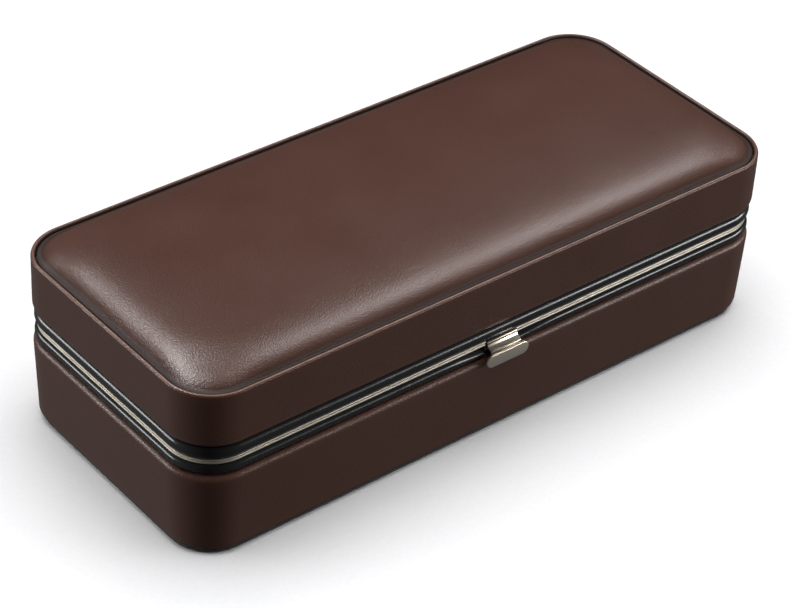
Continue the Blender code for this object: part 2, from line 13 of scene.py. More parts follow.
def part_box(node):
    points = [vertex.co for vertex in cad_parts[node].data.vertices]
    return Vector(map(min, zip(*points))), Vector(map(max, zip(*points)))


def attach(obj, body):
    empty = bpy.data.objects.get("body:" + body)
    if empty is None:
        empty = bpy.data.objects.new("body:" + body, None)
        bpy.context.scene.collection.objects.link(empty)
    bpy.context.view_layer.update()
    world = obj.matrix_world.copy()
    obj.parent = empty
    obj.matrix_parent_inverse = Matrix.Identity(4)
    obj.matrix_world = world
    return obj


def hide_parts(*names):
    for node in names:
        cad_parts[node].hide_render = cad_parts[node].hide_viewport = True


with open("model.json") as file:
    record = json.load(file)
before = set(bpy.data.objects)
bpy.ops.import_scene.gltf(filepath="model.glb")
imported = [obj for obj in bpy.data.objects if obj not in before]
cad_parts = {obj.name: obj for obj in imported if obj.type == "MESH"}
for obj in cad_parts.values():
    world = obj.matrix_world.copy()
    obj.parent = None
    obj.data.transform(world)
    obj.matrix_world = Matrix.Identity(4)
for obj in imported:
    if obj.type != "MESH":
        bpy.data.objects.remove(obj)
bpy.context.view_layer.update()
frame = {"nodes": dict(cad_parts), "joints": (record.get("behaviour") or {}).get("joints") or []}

MM = 0.001

# The box's plan, from the frame. The front is at -HALF_Y.
COVER_LOW, COVER_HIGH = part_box("base_leather")
HALF_X = COVER_HIGH.x
HALF_Y = COVER_HIGH.y
FRONT = -HALF_Y

# Sizes that part.py uses too, and that no single node's box gives.
CORNER_RADIUS = 21 * MM
LEATHER = 1.2 * MM
GAP = 0.3 * MM
NOTCH_HALF, NOTCH_DEPTH = 8.2 * MM, 4.6 * MM

# How finely the plan's outline is divided.
CORNER_STEPS, LONG_STEPS, SHORT_STEPS = 18, 48, 20


# -------- meshes


def finish_object(name, bm, materials, body, smooth=40, replaces=()):
    """Makes a piece of a bmesh, rides it on its body and hides the nodes it stands for."""
    bmesh.ops.recalc_face_normals(bm, faces=bm.faces)
    mesh = to_mesh(name, bm)
    return finish_mesh(name, mesh, materials, body, smooth, replaces)


def finish_mesh(name, mesh, materials, body, smooth=40, replaces=()):
    """The same for a mesh. Edges sharper than `smooth` degrees stay sharp; 0 smooths them all."""
    mesh.name = name
    mesh.shade_smooth()
    if smooth:
        mesh.set_sharp_from_angle(angle=radians(smooth))
    mesh.materials.clear()
    for each in materials:
        mesh.materials.append(each)
    obj = in_scene(name, mesh)
    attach(obj, body)
    if replaces:
        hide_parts(*replaces)
    return obj


def apply_modifiers(obj):
    bpy.context.view_layer.update()
    graph = bpy.context.evaluated_depsgraph_get()
    mesh = bpy.data.meshes.new_from_object(obj.evaluated_get(graph))
    old = obj.data
    obj.modifiers.clear()
    obj.data = mesh
    mesh.name = old.name
    bpy.data.meshes.remove(old)


def in_scene(name, data):
    obj = bpy.data.objects.new(name, data)
    bpy.context.scene.collection.objects.link(obj)
    return obj


def to_mesh(name, bm):
    mesh = bpy.data.meshes.new(name)
    bm.to_mesh(mesh)
    bm.free()
    return mesh


def outline(inset, min_radius=2 * MM):
    """The box's plan outline at an inset, with points along the straight sides too."""
    half = (HALF_X - inset, HALF_Y - inset)
    radius = max(CORNER_RADIUS - inset, min_radius)
    corners = ((1, 1), (-1, 1), (-1, -1), (1, -1))
    points = []
    for quarter, (sx, sy) in enumerate(corners):
        centre = Vector((sx * (half[0] - radius), sy * (half[1] - radius)))
        for step in range(CORNER_STEPS + 1):
            angle = pi / 2 * (quarter + step / CORNER_STEPS)
            points.append(centre + radius * Vector((cos(angle), sin(angle))))
        nx, ny = corners[(quarter + 1) % 4]
        end_angle = pi / 2 * (quarter + 1)
        next_centre = Vector((nx * (half[0] - radius), ny * (half[1] - radius)))
        start = points[-1]
        stop = next_centre + radius * Vector((cos(end_angle), sin(end_angle)))
        steps = LONG_STEPS if quarter % 2 == 0 else SHORT_STEPS
        points += [start.lerp(stop, i / steps) for i in range(1, steps)]
    return points


def arc(inset, height, across, up, start, end, steps=8):
    """Section points on an ellipse. 0 degrees is its outermost point and 90 its highest."""
    points = []
    for step in range(steps + 1):
        angle = radians(start + (end - start) * step / steps)
        points.append((inset - across * cos(angle), height + up * sin(angle)))
    return points


def line(start, end, steps):
    """Section points from start to end, both included."""
    return [
        (start[0] + (end[0] - start[0]) * i / steps, start[1] + (end[1] - start[1]) * i / steps)
        for i in range(steps + 1)
    ]


def bridge(bm, lower, upper):
    """Joins two closed rings of as many points with a band of faces."""
    count = len(lower)
    for i in range(count):
        j = (i + 1) % count
        bm.faces.new((lower[i], lower[j], upper[j], upper[i]))


def close_ends(bm, rings):
    """Closes a tube of rings with a face at each end, and gives the first of the two."""
    first = bm.faces.new(rings[0])
    bm.faces.new(rings[-1])
    return first


def loft(bm, rings):
    """Joins rings one after the other into a closed solid, and gives the face on the first."""
    for lower, upper in zip(rings, rings[1:]):
        bridge(bm, lower, upper)
    return close_ends(bm, rings)


def sweep(section, closed=True, warp=None, wear_and_painted_light=None):
    """Carries a section round the outline. warp moves a point, and wear gives its worn amount with
    painted highlight, or its painted shade where negative.
    """
    bm = bmesh.new()
    layer = bm.verts.layers.float.new("wear_and_painted_light")
    loops = []
    for index, (inset, height) in enumerate(section):
        loop = []
        for x, y in outline(inset):
            co = Vector((x, y, height))
            if warp:
                co = warp(co, inset)
            vert = bm.verts.new(co)
            vert[layer] = wear_and_painted_light(co, inset, index) if wear_and_painted_light else 0.0
            loop.append(vert)
        loops.append(loop)
    for lower, upper in zip(loops, loops[1:]):
        bridge(bm, lower, upper)
    if closed:
        bridge(bm, loops[-1], loops[0])
    return bm, loops


def smoothstep(low, high, value):
    t = min(max((value - low) / (high - low), 0.0), 1.0)
    return t * t * (3 - 2 * t)


def outward(co):
    """The direction from the box's long middle line out through a point, in plan."""
    rx, ry = HALF_X - CORNER_RADIUS, HALF_Y - CORNER_RADIUS
    dx = co.x - min(max(co.x, -rx), rx)
    dy = co.y - min(max(co.y, -ry), ry)
    out = Vector((dx, dy, 0))
    return out.normalized() if out.length > 1e-6 else Vector((0, 0, 0))


def prism(bm, points, axis, start, end):
    """Adds a closed outline extruded along an axis."""

    def place(point, along):
        values = list(point)
        values.insert("xyz".index(axis), along)
        return bm.verts.new(values)

    loft(bm, [[place(p, start) for p in points], [place(p, end) for p in points]])


def circle(centre, radius, steps=32):
    turn = 2 * pi / steps
    return [
        (centre[0] + radius * cos(turn * i), centre[1] + radius * sin(turn * i))
        for i in range(steps)
    ]


def helper(name, points, axis, start, end):
    """A solid used to join or cut another piece. It is removed once that is applied."""
    bm = bmesh.new()
    prism(bm, points, axis, start, end)
    bmesh.ops.recalc_face_normals(bm, faces=bm.faces)
    mesh = to_mesh(name, bm)
    obj = in_scene(name, mesh)
    return obj


def box_points(low, high):
    return [(low[0], low[1]), (high[0], low[1]), (high[0], high[1]), (low[0], high[1])]


def combine(obj, tool, operation):
    """Joins a helper to a piece or cuts it out, and removes the helper."""
    modifier = obj.modifiers.new(operation, "BOOLEAN")
    modifier.object = tool
    modifier.operation = operation
    modifier.solver = "EXACT"
    apply_modifiers(obj)
    bpy.data.objects.remove(tool)


def bevel(obj, width):
    modifier = obj.modifiers.new("edges", "BEVEL")
    modifier.width = width
    modifier.segments = 2
    modifier.limit_method = "ANGLE"
    modifier.angle_limit = radians(30)
    modifier.harden_normals = False
    apply_modifiers(obj)


def shade_metal(obj):
    """Shades a piece again after it was joined or cut."""
    obj.data.shade_smooth()
    obj.data.set_sharp_from_angle(angle=radians(35))


def cut_notch(obj, foot, top):
    """Cuts the notch that the latch sits in, at the middle of the front."""
    corners = box_points((-NOTCH_HALF, FRONT - MM), (NOTCH_HALF, FRONT + NOTCH_DEPTH))
    combine(obj, helper("notch", corners, "z", foot - MM, top + MM), "DIFFERENCE")
    shade_metal(obj)


# -------- materials


class Nodes:
    """A small builder for one Principled material."""

    def __init__(self, name, roughness=0.5, metallic=0.0, **constants):
        self.material = bpy.data.materials.new(name)
        self.material.use_nodes = True
        self.tree = self.material.node_tree
        self.shader = self.tree.nodes["Principled BSDF"]
        self.shader.inputs["Roughness"].default_value = roughness
        self.shader.inputs["Metallic"].default_value = metallic
        for key, value in constants.items():
            self.shader.inputs[key.replace("_", " ")].default_value = value
        self.place = self.add("ShaderNodeTexCoord").outputs["Object"]
        self.bumps = []

    def add(self, kind):
        return self.tree.nodes.new(kind)

    def link(self, out, into):
        self.tree.links.new(out, into)

    def stretched(self, scale):
        """The piece's coordinates, stretched by a scale for each axis."""
        node = self.add("ShaderNodeMapping")
        node.inputs["Scale"].default_value = scale
        self.link(self.place, node.inputs["Vector"])
        return node.outputs["Vector"]

    def noise(self, scale, detail=3.0, roughness=0.55, distortion=0.0, vector=None):
        node = self.add("ShaderNodeTexNoise")
        node.inputs["Scale"].default_value = scale
        node.inputs["Detail"].default_value = detail
        node.inputs["Roughness"].default_value = roughness
        node.inputs["Distortion"].default_value = distortion
        self.link(vector or self.place, node.inputs["Vector"])
        return node.outputs["Fac"]

    def cells(self, scale, feature="F1"):
        node = self.add("ShaderNodeTexVoronoi")
        node.feature = feature
        node.inputs["Scale"].default_value = scale
        self.link(self.place, node.inputs["Vector"])
        return node.outputs["Distance"]

    def ramp(self, fac, low, high, start=0.0, end=1.0):
        """Remaps fac from low..high to start..end, clamped."""
        node = self.add("ShaderNodeMapRange")
        node.inputs["From Min"].default_value = low
        node.inputs["From Max"].default_value = high
        node.inputs["To Min"].default_value = start
        node.inputs["To Max"].default_value = end
        self.link(fac, node.inputs["Value"])
        return node.outputs["Result"]

    def attribute(self, name):
        node = self.add("ShaderNodeAttribute")
        node.attribute_name = name
        return node.outputs["Fac"]

    def math(self, operation, a, b):
        node = self.add("ShaderNodeMath")
        node.operation = operation
        for value, socket in ((a, node.inputs[0]), (b, node.inputs[1])):
            if isinstance(value, (int, float)):
                socket.default_value = value
            else:
                self.link(value, socket)
        return node.outputs["Value"]

    def mix(self, fac, a, b):
        node = self.add("ShaderNodeMix")
        node.data_type = "RGBA"
        self.link(fac, node.inputs["Factor"])
        sockets = [s for s in node.inputs if s.type == "RGBA"]
        for value, socket in ((a, sockets[0]), (b, sockets[1])):
            if isinstance(value, tuple):
                socket.default_value = (*value, 1.0)
            else:
                self.link(value, socket)
        return [s for s in node.outputs if s.type == "RGBA"][0]

    def bump(self, height, distance, strength=1.0):
        """Adds one layer of bump, over those before it."""
        node = self.add("ShaderNodeBump")
        node.inputs["Strength"].default_value = strength
        node.inputs["Distance"].default_value = distance
        self.link(height, node.inputs["Height"])
        if self.bumps:
            self.link(self.bumps[-1], node.inputs["Normal"])
        self.bumps.append(node.outputs["Normal"])
        self.link(node.outputs["Normal"], self.shader.inputs["Normal"])

    def colour(self, out):
        self.link(out, self.shader.inputs["Base Color"])

    def rough(self, out):
        self.link(out, self.shader.inputs["Roughness"])

    def pattern(self, fac, span, colours, rough, bump):
        """Lets one pattern give the colour, the roughness and the bump."""
        self.colour(self.mix(self.ramp(fac, *span), *colours))
        self.rough(self.ramp(fac, *rough))
        self.bump(fac, *bump)
        return self.material


def leather_material():
    """Smooth calf leather: fine pebbled grain, pores, faint clouding, worn edges painted lighter as
    highlight, and painted shade in the seams.

    The wear attribute is up to 1 where an edge is worn and painted lighter as highlight, and down
    to -1 where painted shade darkens a seam.
    """
    body, dark = (0.074, 0.0315, 0.0220), (0.068, 0.0285, 0.0197)
    rubbed_and_highlit, painted_shade = (0.21, 0.115, 0.082), (0.016, 0.0060, 0.0042)
    n = Nodes("dark_brown_leather", roughness=0.42, Specular_IOR_Level=0.38)
    cloud = n.noise(24, detail=4, roughness=0.55)
    fleck = n.noise(1100, detail=2)
    tone = n.mix(n.ramp(cloud, 0.30, 0.70), dark, body)
    tone = n.mix(n.ramp(fleck, 0.50, 0.70, 0.0, 0.6), tone, dark)
    # Painted shade: a negative attribute darkens the seam's groove beside the rim, where shade
    # falls.
    seam = n.ramp(n.attribute("wear_and_painted_light"), -1.0, 0.0, 1.0, 0.0)
    tone = n.mix(seam, tone, painted_shade)
    # Worn edges are painted lighter: partly real wear, partly a painted highlight where they catch
    # the light.
    n.colour(n.mix(n.ramp(n.attribute("wear_and_painted_light"), 0.0, 1.0), tone, rubbed_and_highlit))
    grain = n.cells(1600, "SMOOTH_F1")
    pores = n.noise(2600, detail=2, roughness=0.6)
    n.bump(n.math("ADD", grain, pores), 0.00016, 0.5)
    rough = n.ramp(n.math("ADD", cloud, n.math("MULTIPLY", pores, 0.5)), 0.5, 1.0, 0.27, 0.34)
    n.rough(n.math("ADD", rough, n.ramp(seam, 0.55, 0.95, 0.0, 0.4)))
    return n.material


def lacquer_material():
    """Black lacquer with a faint orange peel and a few dust-fine dull spots."""
    n = Nodes("black_lacquer", Specular_IOR_Level=0.55)
    dust = n.noise(1800, detail=2)
    n.colour(n.mix(n.ramp(dust, 0.66, 0.74), (0.0045, 0.0050, 0.0056), (0.020, 0.021, 0.022)))
    n.rough(n.ramp(n.noise(160, detail=3), 0.3, 0.7, 0.20, 0.28))
    n.bump(n.noise(420, detail=2), 0.00004, 0.10)
    return n.material


def nickel_material(name, tint, dark, rough, stretch, grain, metallic=1.0):
    """Nickel plate with fine drawn lines, tiny scratches and dulled patches."""
    n = Nodes(name, metallic=metallic)
    lines = n.noise(1.0, detail=4, roughness=0.7, vector=n.stretched(stretch))
    smudge = n.noise(70, detail=3)
    n.colour(n.mix(n.ramp(lines, 0.35, 0.7), tint, dark))
    n.rough(n.ramp(n.math("ADD", lines, n.math("MULTIPLY", smudge, 0.6)), 0.5, 1.1, *rough))
    n.bump(lines, 0.00003, grain)
    return n.material


def suede_material():
    """Tan microsuede: short fibres, brushed patches and a soft sheen."""
    light, dark = (0.42, 0.31, 0.205), (0.30, 0.215, 0.135)
    n = Nodes(
        "tan_suede",
        roughness=0.9,
        Sheen_Weight=0.45,
        Sheen_Roughness=0.45,
        Specular_IOR_Level=0.2,
    )
    brushed = n.noise(38, detail=5, roughness=0.65, distortion=0.6)
    fibres = n.noise(2200, detail=4, roughness=0.7)
    tone = n.mix(n.ramp(brushed, 0.25, 0.75), dark, light)
    n.colour(n.mix(n.ramp(fibres, 0.35, 0.65, 0.0, 0.5), tone, dark))
    n.rough(n.ramp(brushed, 0.3, 0.7, 0.82, 0.96))
    n.bump(n.noise(260, detail=3), 0.00008, 0.4)
    n.bump(fibres, 0.00022, 0.6)
    return n.material


def felt_material():
    n = Nodes("bottom_felt", roughness=0.95, Sheen_Weight=0.3, Sheen_Roughness=0.5)
    matted = n.noise(900, detail=5, roughness=0.75, distortion=1.2)
    colours = ((0.010, 0.008, 0.007), (0.030, 0.024, 0.021))
    return n.pattern(matted, (0.35, 0.65), colours, (0.3, 0.7, 0.88, 1.0), (0.0003, 0.6))


def board_material():
    n = Nodes("greyboard", roughness=0.9, Specular_IOR_Level=0.2)
    pulp = n.noise(700, detail=5, roughness=0.7)
    colours = ((0.20, 0.155, 0.11), (0.34, 0.28, 0.21))
    return n.pattern(pulp, (0.35, 0.65), colours, (0.3, 0.7, 0.82, 0.95), (0.00015, 0.5))


def foam_material():
    n = Nodes("foam", roughness=0.95, Specular_IOR_Level=0.15)
    holes = n.cells(1100)
    colours = ((0.34, 0.31, 0.24), (0.66, 0.62, 0.52))
    return n.pattern(holes, (0.1, 0.6), colours, (0.1, 0.6, 0.98, 0.88), (0.0004, 0.7))


def steel_material():
    n = Nodes("steel_wire", metallic=1.0)
    lines = n.noise(1.0, detail=4, vector=n.stretched((120, 1500, 1500)))
    colours = ((0.42, 0.42, 0.43), (0.62, 0.62, 0.62))
    return n.pattern(lines, (0.3, 0.7), colours, (0.3, 0.7, 0.22, 0.36), (0.00002, 0.4))


def thread_material():
    n = Nodes("thread", roughness=0.75, Sheen_Weight=0.3, Sheen_Roughness=0.4)
    ply = n.noise(1.0, detail=2, vector=n.stretched((3000, 3000, 3000)))
    colours = ((0.16, 0.10, 0.06), (0.30, 0.21, 0.13))
    return n.pattern(ply, (0.35, 0.65), colours, (0.3, 0.7, 0.65, 0.85), (0.0001, 0.6))


def floor_material():
    n = Nodes("pale_floor", roughness=0.85, Specular_IOR_Level=0.2)
    paper = n.noise(500, detail=5, roughness=0.7)
    n.colour(n.mix(n.ramp(paper, 0.3, 0.7), (0.89, 0.89, 0.905), (0.93, 0.93, 0.94)))
    n.rough(n.ramp(paper, 0.3, 0.7, 0.8, 0.92))
    n.bump(n.noise(14, detail=4), 0.0012, 0.5)
    n.bump(paper, 0.0002, 0.4)
    return n.material


# -------- camera and light


def aim(obj, back, roll=0.0):
    """Turns a camera or light so that it looks against `back`."""
    right = Vector((0, 0, 1)).cross(back).normalized()
    up = back.cross(right)
    turned_right = right * cos(roll) + up * sin(roll)
    turned_up = up * cos(roll) - right * sin(roll)
    matrix = Matrix((turned_right, turned_up, back)).transposed().to_4x4()
    matrix.translation = obj.location
    obj.matrix_world = matrix


def make_camera():
    azimuth, elevation, roll = radians(-40.79), radians(36.02), radians(3.46)
    distance = 1152.3 * MM
    aside, above = 1.7 * MM, -5.1 * MM
    target = Vector((0, 0, 45 * MM))
    back = Vector(
        (
            sin(azimuth) * cos(elevation),
            -cos(azimuth) * cos(elevation),
            sin(elevation),
        )
    )
    right = Vector((cos(azimuth), sin(azimuth), 0))
    up = back.cross(right)
    data = bpy.data.cameras.new("camera")
    data.lens = 124.82
    data.shift_x = -0.0092
    data.shift_y = -0.0325
    data.clip_start = 0.01
    camera = in_scene("camera", data)
    camera.location = target + back * distance + right * aside + up * above
    aim(camera, back, roll)
    bpy.context.scene.camera = camera


def make_light(name, towards, distance, size, power, diffuse=True, glossy=True):
    data = bpy.data.lights.new(name, "AREA")
    data.shape = "RECTANGLE"
    data.size, data.size_y = size
    data.energy = power
    light = in_scene(name, data)
    back = Vector(towards).normalized()
    light.location = back * distance
    light.visible_diffuse = diffuse
    light.visible_glossy = glossy
    aim(light, back)


def make_world():
    """A studio that is dark towards and behind the camera, with pale walls at its two sides."""
    world = bpy.data.worlds.new("studio")
    world.use_nodes = True
    nodes, links = world.node_tree.nodes, world.node_tree.links
    direction = nodes.new("ShaderNodeTexCoord")
    along = nodes.new("ShaderNodeVectorMath")
    along.operation = "DOT_PRODUCT"
    along.inputs[1].default_value = (-0.76, 0.65, 0.0)  # level, towards the studio's left side
    unit = nodes.new("ShaderNodeMapRange")
    unit.inputs["From Min"].default_value = -1.0
    ramp = nodes.new("ShaderNodeValToRGB")
    walls = ((0.0, 0.20), (0.22, 0.11), (0.5, 0.03), (0.78, 0.16), (1.0, 0.32))
    while len(ramp.color_ramp.elements) < len(walls):
        ramp.color_ramp.elements.new(0.5)
    for element, (position, level) in zip(ramp.color_ramp.elements, walls):
        element.position = position
        element.color = (level * 0.97, level * 0.98, level, 1.0)
    links.new(direction.outputs["Generated"], along.inputs[0])
    links.new(along.outputs["Value"], unit.inputs["Value"])
    links.new(unit.outputs["Result"], ramp.inputs["Fac"])
    links.new(ramp.outputs["Color"], nodes["Background"].inputs["Color"])
    bpy.context.scene.world = world


def make_stage():
    """The pale floor, the studio round it and its lights. Reflections don't show the floor."""
    bm = bmesh.new()
    bmesh.ops.create_grid(bm, x_segments=8, y_segments=8, size=40.0)
    mesh = to_mesh("floor", bm)
    mesh.materials.append(floor_material())
    floor = in_scene("floor", mesh)
    floor.visible_glossy = False
    floor.visible_diffuse = False
    make_world()
    bpy.context.scene.view_settings.view_transform = "Standard"
    make_light("overhead_softbox", (0.1, 0.1, 1.0), 2.6, (3.0, 3.0), 97, glossy=False)
    make_light("right_softbox", (0.522, 0.125, 0.843), 1.3, (0.34, 0.58), 8.2, diffuse=False)
    make_light("back_softbox", (-0.20, 0.43, 0.88), 1.3, (0.32, 0.38), 15.0, diffuse=False)
    make_light("front_fill", (0.76, -0.65, 0.18), 1.6, (1.0, 0.30), 14)
    make_light("left_fill", (-0.76, 0.60, 0.18), 1.6, (1.0, 0.30), 12)


# -------- leather


def hand_wrapped(seed):
    """A warp for glued leather, which never lies perfectly flat."""
    amount = 0.10 * MM
    shift = Vector((seed, -seed, 3 * seed))

    def warp(co):
        wave = noise.noise(co * 38 + shift) + 0.5 * noise.noise(co * 95 + shift)
        return co + outward(co) * (amount * wave)

    return warp


def make_base_leather(leather):
    """The leather round the base, turned under at its foot and in at its shoulder."""
    foot = COVER_LOW.z
    top = COVER_HIGH.z
    draft = 1.2 * MM
    foot_radius = 3.3 * MM
    turn_under = 11.0 * MM
    shoulder_in, shoulder_up = 2.6 * MM, 3.0 * MM
    section = [(turn_under, foot)]
    section += arc(draft + foot_radius, foot + foot_radius, foot_radius, foot_radius, -90, 0, 8)
    wall_top = (0.0, top - shoulder_up)
    section += line(section[-1], wall_top, 10)[1:-1]
    section += arc(shoulder_in, top - shoulder_up, shoulder_in, shoulder_up, 0, 90, 10)
    crest = len(section) - 6
    tuck = shoulder_in + 1.0 * MM
    section += [(tuck, top - 0.5 * MM), (tuck + 0.1 * MM, top - 1.6 * MM)]
    inner = foot_radius - LEATHER
    section += [(LEATHER + 0.1 * MM, top - shoulder_up), (draft + LEATHER, foot + foot_radius)]
    section += arc(draft + foot_radius, foot + foot_radius, inner, inner, -20, -90, 4)
    section += [(turn_under, foot + LEATHER)]
    base_warp = hand_wrapped(4.0)

    def warp(co, inset):
        return base_warp(co) if foot + 4 * MM < co.z < top - 1 * MM else co

    # The shoulder's crest and the foot's rounded edge are painted lighter: partly wear, partly a
    # painted highlight where they catch the light.
    def wear_and_painted_light(co, inset, index):
        rubbed_and_highlit = max(0.0, 1 - abs(index - crest) / 4)
        foot_wear_and_highlight = 1 - smoothstep(foot, foot + 5 * MM, co.z) if inset < 6 * MM else 0
        patchy = 0.6 + 0.4 * noise.noise(co * 60)
        return (0.30 * rubbed_and_highlit + 0.18 * foot_wear_and_highlight) * patchy

    bm, _ = sweep(section, warp=warp, wear_and_painted_light=wear_and_painted_light)
    finish_object("base_leather_cover", bm, [leather], "base", 60, ["base_leather"])


def make_lid_band(leather):
    """The leather round the lid, with the rolled rim that stands up round the padded top."""
    low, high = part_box("lid_leather_band")
    roll, roll_up = 2.2 * MM, 3.4 * MM
    rim_half, rim_up = 0.95 * MM, 1.15 * MM
    rim_z = high.z - rim_up
    inner = LEATHER + 0.1 * MM
    section = arc(roll, low.z + roll_up, roll, roll_up, -90, 0, 8)
    section += line(section[-1], (0.0, rim_z), 9)[1:-1]
    section += arc(rim_half, rim_z, rim_half, rim_up, 0, 180, 14)
    crest_start, crest_end = len(section) - 14, len(section) - 2
    section += [(2 * rim_half, rim_z - 1.6 * MM), (inner, rim_z - 1.8 * MM)]
    section += arc(roll, low.z + roll_up, roll - inner, 1.7 * MM, 0, -90, 4)
    section[-1] = (roll, low.z + 0.9 * MM)
    band_warp = hand_wrapped(9.0)

    def warp(co, inset):
        return band_warp(co) if low.z + 4 * MM < co.z < rim_z - 2 * MM else co

    # The rim's crest is painted lighter, as wear and as a painted highlight.
    def wear_and_painted_light(co, inset, index):
        if crest_start <= index <= crest_end:
            middle = (crest_start + crest_end) / 2
            rubbed_and_highlit = exp(-(((index - middle) / 2.2) ** 2))
            # Painted highlight: stronger on the front and left sides, weaker on the back and right.
            facing = outward(co)
            front_left_highlight = 0.65 - 0.35 * max(min(facing.x + facing.y, 1), -1)
            return rubbed_and_highlit * front_left_highlight * (0.8 + 0.3 * noise.noise(co * 90))
        # Painted shade on the rim's inner flank, in the groove beside the padded top.
        if index > crest_end:
            return -0.9
        return 0.12 if co.z < low.z + 3 * MM else 0.0

    bm, _ = sweep(section, warp=warp, wear_and_painted_light=wear_and_painted_light)
    name = "lid_leather_side_band"
    finish_object(name, bm, [leather], "lid", 60, ["lid_leather_band"])


# Where the padded top meets the rim, and how far in from the side its edge is painted darker as
# shade.
PAD_SEAM_INSET = 2.4 * MM
PAD_SEAM_Z = 78.3 * MM
SEAM_SHADE = 9.0 * MM
# The padded top rises fast beside its seam, then slowly to the middle, and less at its corners.
EDGE_RISE, EDGE_REACH = 6.0 * MM, 5.5 * MM
SLOW_RISE, SLOW_REACH = 2.5 * MM, 20.0 * MM
CORNER_SAG, CORNER_REACH = 0.45, 38.0 * MM
# Between these insets the height stops following the outline, and blends end and side smoothly.
OUTLINE_ONLY, BLEND_ONLY = 4.0 * MM, 16.0 * MM
SIDE_BLEND = 6.0 * MM


def crown(x, y, inset):
    """Height of the padded top at a point of its outline at an inset."""
    from_end, from_side = HALF_X - abs(x), HALF_Y - abs(y)
    near = exp(-from_end / SIDE_BLEND) + exp(-from_side / SIDE_BLEND)
    nearest = -SIDE_BLEND * math.log(near)
    share = smoothstep(OUTLINE_ONLY, BLEND_ONLY, inset)
    s = inset * (1 - share) + nearest * share - PAD_SEAM_INSET
    rise = EDGE_RISE * (1 - exp(-s / EDGE_REACH))
    rise += SLOW_RISE * (1 - exp(-s / SLOW_REACH))
    away = math.hypot(from_end, from_side) / CORNER_REACH
    sag = CORNER_SAG * (1 - away * away) ** 2 if away < 1 else 0.0
    return PAD_SEAM_Z + rise * (1 - sag)


def points_of(mesh):
    """A mesh's points as an array with a row for each."""
    values = np.zeros(len(mesh.vertices) * 3)
    mesh.vertices.foreach_get("co", values)
    return values.reshape(-1, 3)


def soften(obj, pinned, pressure, frames, cap):
    """Cloth under pressure: fills the piece out, by no more than about cap, then applies it.

    pinned gives the points that are held, as lists of indices by how firmly they are.
    """
    before = points_of(obj.data)
    modifier = obj.modifiers.new("cloth", "CLOTH")
    settings = modifier.settings
    settings.quality = 6
    settings.mass = 0.3
    settings.tension_stiffness = 15.0
    settings.compression_stiffness = 15.0
    settings.bending_stiffness = 0.5
    settings.use_pressure = True
    settings.uniform_pressure_force = pressure
    settings.effector_weights.gravity = 0
    modifier.collision_settings.use_collision = False
    if pinned:
        group = obj.vertex_groups.new(name="pin")
        for weight, indices in pinned.items():
            group.add(indices, weight, "REPLACE")
        settings.vertex_group_mass = "pin"
    modifier.point_cache.frame_start = 1
    modifier.point_cache.frame_end = frames
    scene = bpy.context.scene
    for number in range(1, frames + 1):
        scene.frame_set(number)
    graph = bpy.context.evaluated_depsgraph_get()
    after = points_of(obj.evaluated_get(graph).to_mesh())
    obj.evaluated_get(graph).to_mesh_clear()
    obj.modifiers.remove(modifier)
    obj.vertex_groups.clear()
    step = after - before
    length = np.linalg.norm(step, axis=1, keepdims=True)
    soft = cap * np.tanh(length / cap)
    step *= soft / np.maximum(length, 1e-9)
    obj.data.vertices.foreach_set("co", (before + step).ravel())
    obj.data.update()
    scene.frame_set(1)


def make_padded_top(leather):
    """The lid's padded top: one skin of leather over the foam, held down along its seam."""
    low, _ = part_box("lid_top_leather")
    wall_foot = low.z + 0.2 * MM
    insets = [PAD_SEAM_INSET]
    step = 0.25 * MM
    while insets[-1] < HALF_Y - 7 * MM:
        insets.append(insets[-1] + step)
        step = min(step * 1.09, 2.5 * MM)
    insets[-1] = HALF_Y - 4 * MM
    section = [(PAD_SEAM_INSET, wall_foot), (PAD_SEAM_INSET, wall_foot + 1.0 * MM)]
    section += [(inset, PAD_SEAM_Z) for inset in insets]

    def warp(co, inset):
        on_top = co.z > PAD_SEAM_Z - 1e-6
        return Vector((co.x, co.y, crown(co.x, co.y, inset))) if on_top else co

    # Painted shade: the pad's edge beside the seam is painted darker, strongest at the seam.
    def wear_and_painted_light(co, inset, index):
        return -(1 - smoothstep(PAD_SEAM_INSET, SEAM_SHADE, inset)) ** 2

    bm, loops = sweep(section, closed=False, warp=warp, wear_and_painted_light=wear_and_painted_light)
    bm.faces.new(loops[-1])
    bm.verts.index_update()
    fixed = [v.index for loop in loops[:4] for v in loop]
    name = "lid_padded_top"
    pad = finish_object(name, bm, [leather], "lid", 0, ["lid_top_leather"])
    soften(pad, {1.0: fixed}, pressure=3.0, frames=14, cap=0.7 * MM)
    skin = pad.modifiers.new("skin", "SOLIDIFY")
    skin.thickness = 1.0 * MM
    skin.offset = -1
    apply_modifiers(pad)


# -------- frames and strips


def latch_relief(x):
    """1 beside the latch, falling to 0 a little way along the frame."""
    return 1 - smoothstep(8 * MM, 26 * MM, abs(x))


